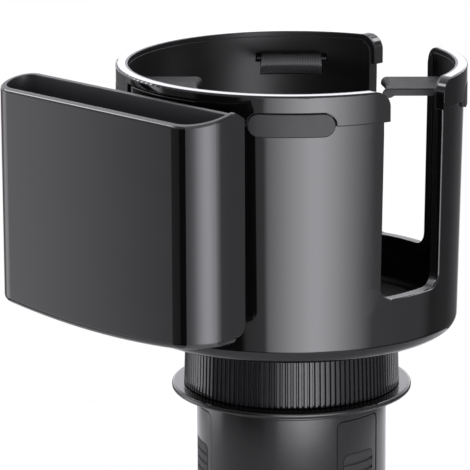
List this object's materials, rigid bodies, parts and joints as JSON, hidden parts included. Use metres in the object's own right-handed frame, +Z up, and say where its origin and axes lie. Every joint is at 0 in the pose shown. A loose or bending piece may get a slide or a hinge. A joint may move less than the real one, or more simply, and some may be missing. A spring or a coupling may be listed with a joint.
{
  "type": "car cup holder",
  "caption": "Cup holder expander: wide cup with collar, handle slots, sprung tabs and side pocket on a narrow base whose knurled ring pushes out gripping wings.",
  "frame": {"origin": "centre of the base's rest face, on the cup's axis", "axes": "+Z up along the cup's axis, -Y towards the front tab, +X towards the post between the two handle slots"},
  "size_m": [0.1435, 0.1208, 0.165],
  "materials": {
    "gloss_black": "glossy moulded",
    "matte_black": "satin moulded",
    "soft_black": "matte soft",
    "steel": "zinc plated"
  },
  "bodies": {
    "cup": {"base_flange": "gloss_black", "base_shell": "gloss_black", "centre_screw": "steel", "collar_ring": "gloss_black", "cup_body": "gloss_black", "floor_mat": "soft_black", "foot_pad": "soft_black", "phone_pocket": "gloss_black", "post_collar": "gloss_black", "spindle": "matte_black", "spindle_screws": "steel", "tab_cover_back": "gloss_black", "tab_cover_front": "gloss_black", "tab_cover_left": "gloss_black", "tab_cover_right": "gloss_black", "tab_pin_back": "steel", "tab_pin_front": "steel", "tab_pin_left": "steel", "tab_pin_right": "steel"},
    "ring": {"adjusting_ring": "gloss_black", "scroll_plate": "matte_black", "scroll_screws": "steel"},
    "tab_front": {"tab_front": "gloss_black", "tab_spring_front": "steel"},
    "tab_right": {"tab_right": "gloss_black", "tab_spring_right": "steel"},
    "tab_back": {"tab_back": "gloss_black", "tab_spring_back": "steel"},
    "tab_left": {"tab_left": "gloss_black", "tab_spring_left": "steel"},
    "wing_1": {"wing_1": "gloss_black", "wing_pad_1": "soft_black"},
    "wing_2": {"wing_2": "gloss_black", "wing_pad_2": "soft_black"},
    "wing_3": {"wing_3": "gloss_black", "wing_pad_3": "soft_black"}
  },
  "joints": [
    {"name": "tab_front_fold", "type": "hinge", "parent": "cup", "child": "tab_front", "pos_m": [0, -0.0502, 0.1561], "axis": [-1, 0, 0], "range_deg": [0, 60], "stiffness_Nm_per_rad": 0.004, "springref_deg": -45.84},
    {"name": "tab_right_fold", "type": "hinge", "parent": "cup", "child": "tab_right", "pos_m": [0.0502, 0, 0.1561], "axis": [0, -1, 0], "range_deg": [0, 60], "stiffness_Nm_per_rad": 0.004, "springref_deg": -45.84},
    {"name": "tab_back_fold", "type": "hinge", "parent": "cup", "child": "tab_back", "pos_m": [0, 0.0502, 0.1561], "axis": [1, 0, 0], "range_deg": [0, 60], "stiffness_Nm_per_rad": 0.004, "springref_deg": -45.84},
    {"name": "tab_left_fold", "type": "hinge", "parent": "cup", "child": "tab_left", "pos_m": [-0.0502, 0, 0.1561], "axis": [0, 1, 0], "range_deg": [0, 60], "stiffness_Nm_per_rad": 0.004, "springref_deg": -45.84},
    {"name": "ring_turn", "type": "hinge", "parent": "cup", "child": "ring", "pos_m": [0, 0, 0.07], "axis": [0, 0, 1], "range_deg": [0, 90]},
    {"name": "wing_1_slide", "type": "slide", "parent": "cup", "child": "wing_1", "axis": [0.7133, -0.7009, 0], "range_m": [0, 0.0075]},
    {"name": "wing_2_slide", "type": "slide", "parent": "cup", "child": "wing_2", "axis": [0.2504, 0.9681, 0], "range_m": [0, 0.0075]},
    {"name": "wing_3_slide", "type": "slide", "parent": "cup", "child": "wing_3", "axis": [-0.9636, -0.2672, 0], "range_m": [0, 0.0075]}
  ],
  "couplings": [
    {"joint": "wing_1_slide", "follows": "ring_turn", "m_per_rad": 0.0047746},
    {"joint": "wing_2_slide", "follows": "ring_turn", "m_per_rad": 0.0047746},
    {"joint": "wing_3_slide", "follows": "ring_turn", "m_per_rad": 0.0047746}
  ]
}
